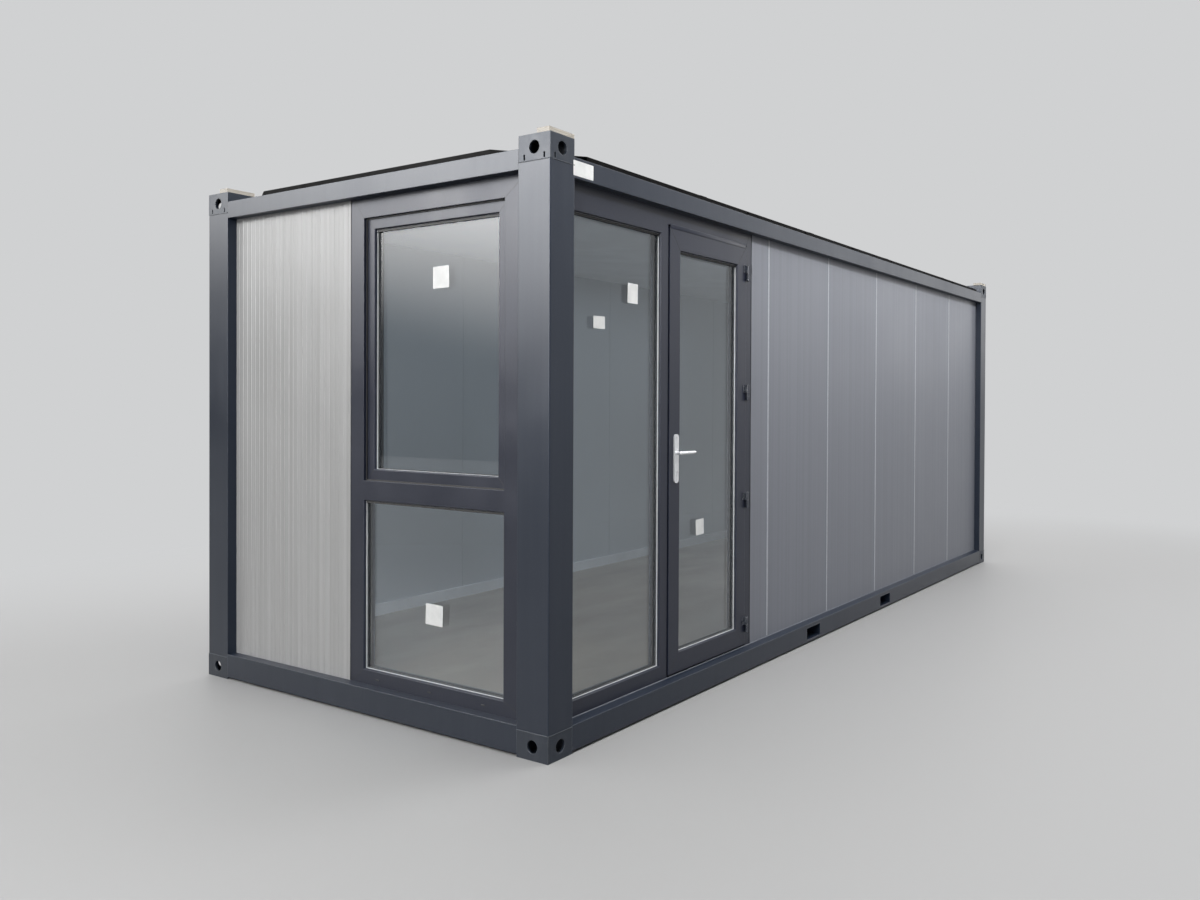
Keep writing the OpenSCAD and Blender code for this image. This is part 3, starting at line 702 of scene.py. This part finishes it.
mitres = {
    "width": 2.6 * mm, "proud": 0.4 * mm, "round": 0.2 * mm,
    "runs": {
        "cabin": [
            ("front", 50, 1313, 2475, 1220, 2359), ("front", 50, 145, 2475, 300, 2359),
            ("front", 50, 1313, 128, 1220, 199), ("front", 50, 145, 128, 300, 199),
            ("front", 69, 1220, 2359, 1168, 2307), ("front", 69, 300, 2359, 352, 2307),
            ("front", 69, 1220, 1105, 1168, 1157), ("front", 69, 300, 1105, 352, 1157),
            ("side", 50, 120, 2475, 205, 2310), ("side", 50, 120, 128, 205, 199),
            ("side", 50, 1725, 2475, 1670, 2359),
        ],
        "door": [
            ("side", 45, 921, 2350, 1010, 2245), ("side", 45, 1661, 2350, 1572, 2245),
            ("side", 45, 921, 140, 1010, 237), ("side", 45, 1661, 140, 1572, 237),
        ],
    },
}
for body, runs in mitres["runs"].items():
    bm = bmesh.new()
    for facing, depth, a0, z0, a1, z1 in runs:
        start, end = places[facing](depth, a0, z0), places[facing](depth, a1, z1)
        barInto(bm, start, end, facings[facing],
                mitres["width"], 2 * mitres["proud"], mitres["round"])
    finishPiece(bm, "mitre_seams_" + body, body, "sealant")


# blank stickers on the panes and a blank label on the roof beam: face, depth, place, height,
# width, tall, turn in degrees

stickers = {
    "thick": 0.5 * mm, "corner": 3 * mm, "cornerSteps": 4, "lift": 0.3 * mm,
    "cabin": [
        ("front", 89, 734, 2052, 105, 100, 1.0), ("front", 70, 752, 512, 112, 96, -1.5),
        ("side", 70, 651, 1996, 78, 93, -1.0), ("side", 70, 404, 1843, 81, 56, 1.0),
        ("side", 0, 209, 2471, 131, 64, 0.0),
    ],
    "door": [("side", 65, 1230, 841, 75, 81, 2.0)],
}


def stickerInto(bm, facing, depth, along, height, width, tall, turn):
    thick, normal = stickers["thick"], facings[facing]
    made = bmesh.ops.create_cube(bm, size=1.0)["verts"]
    bmesh.ops.scale(bm, vec=(width * mm, tall * mm, thick), verts=made)
    upright = [e for e in edgesOf(made) if abs(e.verts[0].co.z - e.verts[1].co.z) > thick / 2]
    done = rounded(bm, upright, stickers["corner"], stickers["cornerSteps"])
    group = list({v for f in done["faces"] for v in f.verts} | {v for v in made if v.is_valid})
    flat = Matrix((axisZ.cross(normal), axisZ, normal)).transposed().to_4x4() @ turned(turn, "Z")
    middle = places[facing](depth, along, height) + normal * stickers["lift"]
    bmesh.ops.transform(bm, matrix=Matrix.Translation(middle) @ flat, verts=group)


for body in ("cabin", "door"):
    bm = bmesh.new()
    for row in stickers[body]:
        stickerInto(bm, *row)
    finishPiece(bm, "blank_stickers_" + body, body, "blankPaper")


# trim over the joints of the wall panels

joints = {
    "pitch": 801, "gap": 1.5, "width": 13 * mm, "proud": 2 * mm, "round": 1.9 * mm,
    "low": 134 * mm, "high": 2470 * mm, "recess": 50 * mm,
    "walls": {    # first joint, count, way the wall faces
        "right": (1930, 5, axisX), "left": (328, 7, -axisX), "rear": (688, 2, axisY),
    },
}


def jointFoot(wall, along):
    inset = joints["recess"]
    if wall == "right":
        return sideFace - inset, frontFace + along
    if wall == "left":
        return inset - sideFace, -frontFace - along
    return sideFace - along, -frontFace - inset


bm = bmesh.new()
for wall, (first, count, normal) in joints["walls"].items():
    for index in range(count):
        x, y = jointFoot(wall, (first + index * joints["pitch"] - joints["gap"]) * mm)
        start, end = Vector((x, y, joints["low"])), Vector((x, y, joints["high"]))
        barInto(bm, start, end, normal, joints["width"], 2 * joints["proud"], joints["round"])
finishPiece(bm, "panel_joint_trim", "cabin", "jointTrim")


# sealant between the frames and the panels beside them, and along the foot of the walls, where its
# light colour is a painted highlight on the sill

sealing = {
    "radius": 2.4 * mm, "footRadius": 2.6 * mm, "step": 40 * mm, "wobble": 0.12,
    "uprights": (("front", 50, 1313, 134, 2452), ("side", 50, 1725, 130, 2429)),
    "feet": (("front", 49, 176, 2259), ("side", 49, 151, 5904)), "footHeight": 128.6,
}
bm = bmesh.new()
for facing, depth, along, low, high in sealing["uprights"]:
    start, end = places[facing](depth, along, low), places[facing](depth, along, high)
    beadInto(bm, start, end, sealing["radius"], sealing)
finishPiece(bm, "frame_sealant", "cabin", "sealant", smooth=True)
# sealant along the foot of the walls, coloured light as a painted highlight on the sill edge
bm = bmesh.new()
for facing, depth, *ends in sealing["feet"]:
    start, end = (places[facing](depth, along, sealing["footHeight"]) for along in ends)
    beadInto(bm, start, end, sealing["footRadius"], sealing)
finishPiece(bm, "foot_sealant_highlight", "cabin", "footSeal", smooth=True)


# drain caps with their slots under the low light

drains = {
    "places": (420, 760, 1116),
    "boxes": (    # back, front, half width, low, high, bevel
        (50.5, 47.5, 12, 158, 165, 1.2 * mm), (47.6, 47.2, 9, 159.5, 162, 0.1 * mm),
    ),
}
bm = bmesh.new()
for across in drains["places"]:
    for back, front, half, low, high, bevelWidth in drains["boxes"]:
        boxInto(bm, onFront(back, across - half, low), onFront(front, across + half, high), bevelWidth)
finishPiece(bm, "drain_caps", "cabin", "sealant")


# door furniture: screws, keyholes and lever collars; a disc is given its radius, length, sides and
# bevel, a bar its width, thickness and bevel

furniture = {
    "spindle": 975, "plateMid": 1208, "screwReach": 104, "keyholeTop": 1144, "leverHeight": 1236,
    "faces": {"outer": (37, axisX), "inner": (115, -axisX)},
    "screw": (4.0 * mm, 1.6 * mm, 18, 0.4 * mm), "slot": (1.0 * mm, 0.5 * mm, 0.1 * mm),
    "slotLift": 0.7 * mm, "slotReach": 2.6 * mm, "keyLift": 2.1 * mm, "keyDrop": 8 * mm,
    "keyTop": (2.0 * mm, 0.6 * mm, 16, 0.1 * mm), "keySlot": (2.2 * mm, 0.6 * mm, 0.1 * mm),
    "collar": (8.4 * mm, 13.0 * mm, 3.0 * mm), "collarWall": 0.6, "collarSteps": 28,
}


def collarInto(bm, centre, axis, inner, outer, thick):
    turn = axisZ.rotation_difference(axis).to_matrix()
    wall = thick * furniture["collarWall"]    # the rest of the thickness is its chamfer
    points = ((inner, 0.0), (outer, 0.0), (outer, wall), (outer - thick + wall, thick), (inner, thick))
    verts = [bm.verts.new(centre + turn @ Vector((r, 0.0, h))) for r, h in points]
    loop = [bm.edges.new(pair) for pair in zip(verts, verts[1:] + verts[:1])]
    bmesh.ops.spin(bm, geom=verts + loop, cent=centre, axis=axis, angle=math.tau,
                   steps=furniture["collarSteps"], use_merge=True)


for title, (depth, axis) in furniture["faces"].items():
    heads, slots, collar = bmesh.new(), bmesh.new(), bmesh.new()
    for sign in (-1, 1):
        height = furniture["plateMid"] + sign * furniture["screwReach"]
        spot = onSide(depth, furniture["spindle"], height)
        discInto(heads, spot, axis, *furniture["screw"])
        top = spot + axis * furniture["slotLift"]
        for reach in (axisY * furniture["slotReach"], axisZ * furniture["slotReach"]):
            barInto(slots, top + reach, top - reach, axis, *furniture["slot"])
    key = onSide(depth, furniture["spindle"], furniture["keyholeTop"]) + axis * furniture["keyLift"]
    discInto(slots, key, axis, *furniture["keyTop"])
    barInto(slots, key, key - axisZ * furniture["keyDrop"], axis, *furniture["keySlot"])
    finishPiece(heads, "plate_screws_" + title, "door", "brightSteel")
    # screw slots and keyholes: dark marks of painted shade where the recesses would be
    finishPiece(slots, "screw_slot_shade_" + title, "door", "darkHole")
    middle = onSide(depth, furniture["spindle"], furniture["leverHeight"])
    collarInto(collar, middle, axis, *furniture["collar"])
    finishPiece(collar, "lever_collar_" + title, "door", "brightSteel", smooth=True)


# lock edge plate of the leaf, painted shade for its slots, and the strikes in the frame

edgePlate = {
    "depth": 76, "height": 1240, "size": (20, 1640), "along": (921.5, 919.5), "round": 0.6 * mm,
    "bolts": (560, 1236, 1900), "slotSize": (10, 46), "slotAlong": (919.7, 919.2),
    "slotRound": 0.15 * mm, "strikeSize": (24, 150), "strikeAlong": (911.5, 913.5),
}


def edgePatch(bm, height, size, along, bevelWidth):
    wide, tall = size
    depth = edgePlate["depth"]
    boxInto(bm, onSide(depth - wide / 2, along[0], height - tall / 2),
            onSide(depth + wide / 2, along[1], height + tall / 2), bevelWidth)


bm, holes, strike = bmesh.new(), bmesh.new(), bmesh.new()
edgePatch(bm, edgePlate["height"], edgePlate["size"], edgePlate["along"], edgePlate["round"])
for height in edgePlate["bolts"]:
    edgePatch(holes, height, edgePlate["slotSize"], edgePlate["slotAlong"], edgePlate["slotRound"])
    edgePatch(strike, height, edgePlate["strikeSize"], edgePlate["strikeAlong"], edgePlate["round"])
finishPiece(bm, "lock_edge_plate", "door", "brightSteel")
finishPiece(holes, "lock_edge_slot_shade", "door", "darkHole")
finishPiece(strike, "strike_plates", "cabin", "brightSteel")


# rubber seal on the door stop and in the sash rebate

seals = {
    "depth": (108.2, 113.2), "width": 8, "round": 2.2 * mm, "low": 150, "head": 2340,
    "lock": 922.5, "hinge": 1651.5, "sashWidth": 6 * mm, "sashThick": 5 * mm,
}
bm = bmesh.new()
near, far = seals["depth"]
top = seals["head"] + seals["width"]
for first, last, low in (("lock", "lock", "low"), ("hinge", "hinge", "low"), ("lock", "hinge", "head")):
    boxInto(bm, onSide(near, seals[first], seals[low]),
            onSide(far, seals[last] + seals["width"], top), seals["round"])
finishPiece(bm, "door_seal", "cabin", "rubber", smooth=True)
bm = bmesh.new()
sashLow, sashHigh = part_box("front_window_sash")
corners = unitCorners(sashLow, sashHigh, "front", -seals["sashThick"], 0.0)
ringInto(bm, corners, seals["sashWidth"], axisY * seals["sashThick"])
finishPiece(bm, "sash_seal", "cabin", "rubber")


# thin lip on the leaf that covers the gap above the door

headLip = {
    "depth": (45.4, 42.8), "along": (921.5, 1652), "height": (2343, 2364), "round": 1.2 * mm,
}
bm = bmesh.new()
spots = zip(headLip["depth"], headLip["along"], headLip["height"])
boxInto(bm, *(onSide(*spot) for spot in spots), headLip["round"])
finishPiece(bm, "door_head_lip", "door", "windowFoil", smooth=True)


# hinge caps and flap screws

hinges = {
    "leafLow": 140, "leafTall": 2210, "shares": (0.05, 0.365, 0.635, 0.935), "depth": 33,
    "along": 1665.5, "reach": 42.25, "capTall": 3 * mm, "capSides": 24, "capRound": 0.8 * mm,
    "capRadius": 7.6 * mm, "capTip": 5.6 * mm, "screw": (3.4 * mm, 1.6 * mm, 16, 0.5 * mm),
    "screwDrops": (11, 31),
    "flaps": {    # way to the cap, depth and place of the screws
        "cabin": (-1, 46.6, 1688), "door": (1, 41.6, 1643),
    },
}
caps = {body: bmesh.new() for body in hinges["flaps"]}
for share in hinges["shares"]:
    height = hinges["leafLow"] + share * hinges["leafTall"]
    for body, (sign, depth, along) in hinges["flaps"].items():
        end = onSide(hinges["depth"], hinges["along"], height + sign * hinges["reach"])
        discInto(caps[body], end + axisZ * sign * hinges["capTall"] / 2, axisZ * sign,
                 hinges["capRadius"], hinges["capTall"], hinges["capSides"], hinges["capRound"],
                 hinges["capTip"])
        for drop in hinges["screwDrops"]:
            discInto(caps[body], onSide(depth, along, height + sign * drop), axisX, *hinges["screw"])
for body, bm in caps.items():
    finishPiece(bm, "hinge_caps_" + body, body, "hingePaint")


# nails in the battens

nails = {
    "shape": (3.0 * mm, 1.2 * mm, 14, 0.3 * mm), "lift": 0.2 * mm, "side": 40 * mm, "stray": 8,
    "reaches": (36, 118), "battenWidth": 175 * mm,
}
bm = bmesh.new()
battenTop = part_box("stacking_battens")[1][2]
for x in (sideFace - nails["side"], -sideFace + nails["battenWidth"] - nails["side"]):
    for sy in (-1.0, 1.0):
        for reach in nails["reaches"]:
            stray = dice.uniform(-nails["stray"], nails["stray"]) * mm
            spot = Vector((x + stray, sy * (-frontFace - reach * mm), battenTop + nails["lift"]))
            discInto(bm, spot, axisZ, *nails["shape"])
finishPiece(bm, "batten_nails", "cabin", "galvanised")


# bolts that hold the roof sheet

bolts = {
    "washer": (7.0 * mm, 1.6 * mm, 24, 0.4 * mm), "washerLift": 0.8 * mm,
    "head": (4.9 * mm, 5.0 * mm, 6, 0.5 * mm), "headLift": 3.5 * mm,
    "endAcross": (336, 774, 1217.5, 1661, 2099), "endDepth": 60 * mm, "endHeight": 2553 * mm,
    "sideAlong": (-2100, -1400, -700, 0, 700, 1400, 2100), "sideDepth": 15 * mm,
    "sideHeight": 2531 * mm,
}


def boltInto(bm, spot, outward):
    discInto(bm, spot + outward * bolts["washerLift"], outward, *bolts["washer"])
    discInto(bm, spot + outward * bolts["headLift"], outward, *bolts["head"])


bm = bmesh.new()
for sy in (-1.0, 1.0):
    y = sy * (-frontFace - bolts["endDepth"])
    for across in bolts["endAcross"]:
        boltInto(bm, Vector((sideFace - across * mm, y, bolts["endHeight"])), axisY * sy)
for sx in (-1.0, 1.0):
    x = sx * (sideFace - bolts["sideDepth"])
    for along in bolts["sideAlong"]:
        boltInto(bm, Vector((x, along * mm, bolts["sideHeight"])), axisX * sx)
finishPiece(bm, "roof_bolts", "cabin", "roofPaint")


# lap seams across the roof sheet, over its two slopes and its flat crown, with a row of rivets

laps = {
    "profile": ((-1201, 2540.1), (-817.5, 2580), (817.5, 2580), (1201, 2540.1)),
    "places": (-1850, -617, 617, 1850), "width": 60 * mm, "proud": 2.4 * mm, "round": 1.6 * mm,
    "rivets": 11, "rivetReach": 760, "rivetHeight": 2583,
    "rivet": (4.5 * mm, 1.6 * mm, 14, 0.5 * mm),
}
bm = bmesh.new()
for y in laps["places"]:
    line = [Vector((x, y, z)) * mm for x, z in laps["profile"]]
    for start, end in zip(line, line[1:]):
        normal = axisY.cross(end - start).normalized()
        barInto(bm, start, end, normal, laps["width"], 2 * laps["proud"], laps["round"])
    for index in range(laps["rivets"]):
        x = laps["rivetReach"] * (2 * index / (laps["rivets"] - 1) - 1)
        discInto(bm, Vector((x, y, laps["rivetHeight"])) * mm, axisZ, *laps["rivet"])
finishPiece(bm, "roof_laps", "cabin", "lapPaint")
print("detail pieces")


# pale studio: floor, backdrop, soft boxes and three cards that only reflections see

studio = {
    "backdrop": tone(208, 209, 210), "floor": tone(170, 170, 170), "bounce": tone(100, 100, 100),
    "ambient": 0.32, "size": 60.0, "fade": (0.8, 4.6), "floorRough": 0.5, "floorShine": 0.2,
}


def pale(tree):    # rays that show the plain backdrop instead of the light level
    rays = put(tree, "LightPath").outputs
    straight = calc(tree, "ADD", rays["Is Camera Ray"], rays["Is Transmission Ray"])
    return calc(tree, "ADD", straight, rays["Is Glossy Ray"], clamp=True)


def makeWorld():
    world = bpy.data.worlds.new("studio")
    scene.world = world
    world.use_nodes = True
    tree = world.node_tree
    lit = tree.nodes["Background"]
    fill(lit, {"Color": (1.0, 1.0, 1.0, 1.0), "Strength": studio["ambient"]})
    seen = put(tree, "Background")
    fill(seen, {"Color": studio["backdrop"]})
    blended(tree, pale(tree), lit, seen, "World Output")


def stagePlane(name, finish, matrix, width, height):
    bm = bmesh.new()
    stretch = Matrix.Diagonal((width, height, 1.0, 1.0))
    bmesh.ops.create_grid(bm, x_segments=1, y_segments=1, size=0.5, matrix=matrix @ stretch)
    mesh = bpy.data.meshes.new(name)
    bm.to_mesh(mesh)
    bm.free()
    mesh.materials.append(finish)
    plane = bpy.data.objects.new(name, mesh)
    scene.collection.objects.link(plane)
    return plane


def makeFloor():    # fades into the backdrop with the distance from the container
    finish, tree, surface = newFinish("studioFloor")
    body = mixTone(tree, pale(tree), studio["bounce"], studio["floor"])
    wire(tree, body, surface.inputs["Base Color"])
    fill(surface, {"Roughness": studio["floorRough"], "Specular IOR Level": studio["floorShine"]})
    reach = objectPlace(tree)
    steps = (
        ("ABSOLUTE", None), ("SUBTRACT", boxHigh), ("MAXIMUM", (0.0, 0.0, 0.0)), ("LENGTH", None))
    for operation, other in steps:
        step = put(tree, "VectorMath", operation=operation)
        wire(tree, reach, step.inputs[0])
        if other is not None:
            step.inputs[1].default_value = other
        reach = step.outputs["Value" if operation == "LENGTH" else "Vector"]
    glow = put(tree, "Emission")
    fill(glow, {"Color": studio["backdrop"]})
    far = spread(tree, reach, studio["fade"], shape="SMOOTHSTEP")
    blended(tree, times(tree, far, pale(tree)), surface, glow, "Material Output")
    stagePlane("studioFloor", finish, Matrix(), 2 * studio["size"], 2 * studio["size"])


# fade: heights from dark to full; lean: height gained per metre of x; dim: from x, to x, least share

cards = {
    "skyCard": {
        "centre": (-9.0, -9.0, 5.2), "width": 24.0, "height": 9.0, "upright": True,
        "strength": 12.8, "fade": (0.82, 3.52), "lean": 0.2, "dim": (-13.0, -5.0, 0.45),
    },
    "farCard": {
        "centre": (10.75, 30.0, 8.5), "width": 17.5, "height": 14.0, "upright": True,
        "strength": 2.6, "fade": (1.4, 3.4), "lean": 0.0, "dim": (3.0, 18.0, 0.35),
    },
    "topCard": {
        "centre": (0.0, 0.0, 9.5), "width": 22.0, "height": 26.0, "upright": False,
        "strength": 2.6, "fade": (0.0, 1.0), "lean": 0.0, "dim": (-30.0, -20.0, 1.0),
    },
}


def makeCard(name, card):
    finish, tree, surface = newFinish(name)
    tree.nodes.remove(surface)
    parts = put(tree, "SeparateXYZ")
    wire(tree, objectPlace(tree), parts.inputs[0])
    x, z = parts.outputs["X"], parts.outputs["Z"]
    height = calc(tree, "ADD", z, times(tree, x, card["lean"]))
    rise = spread(tree, height, card["fade"], shape="SMOOTHSTEP")
    start, stop, least = card["dim"]
    dimmed = spread(tree, x, (start, stop), (least, 1.0))
    glow = put(tree, "Emission")
    level = times(tree, times(tree, rise, card["strength"]), dimmed)
    wire(tree, level, glow.inputs["Strength"])
    tree.links.new(glow.outputs[0], tree.nodes["Material Output"].inputs["Surface"])
    matrix = Matrix.Translation(card["centre"]) @ turned(90.0 if card["upright"] else 0.0, "X")
    plane = stagePlane(name, finish, matrix, card["width"], card["height"])
    plane.visible_camera = plane.visible_diffuse = False
    plane.visible_transmission = plane.visible_shadow = False


lamps = {    # centre, point aimed at, width, height, watts
    "keyBox": ((2.8, -10.0, 5.5), (-0.2, -3.0, 1.6), 4.0, 2.2, 460.0),
    "sideStrip": ((3.0, 0.9, 3.8), (1.2, 0.9, 1.8), 9.0, 0.4, 115.0),
    "overhead": ((0.0, -0.5, 7.5), (0.0, -0.5, 0.0), 9.0, 11.0, 420.0),
    "leftFill": ((-7.5, 0.5, 4.2), (-1.2, 0.5, 1.4), 6.0, 2.5, 240.0),
    "rearFill": ((-1.8, 9.5, 4.2), (-0.6, 3.0, 1.4), 5.6, 2.5, 240.0),
    "roomLight": ((0.0, -0.6, 2.44), (0.0, -0.6, 0.0), 1.2, 4.0, 9.5),
}


def makeLamp(name, centre, target, width, height, watts):
    data = bpy.data.lights.new(name, "AREA")
    data.shape = "RECTANGLE"
    data.size, data.size_y = width, height
    data.energy = watts
    lamp = bpy.data.objects.new(name, data)
    away = Vector(centre) - Vector(target)
    turn = away.to_track_quat("Z", "Y").to_matrix().to_4x4()
    lamp.matrix_world = Matrix.Translation(centre) @ turn
    lamp.visible_camera = lamp.visible_glossy = lamp.visible_transmission = False
    scene.collection.objects.link(lamp)


makeWorld()
makeFloor()
for name, card in cards.items():
    makeCard(name, card)
for name, values in lamps.items():
    makeLamp(name, *values)
scene.view_settings.view_transform = "Standard"
print("studio lit")
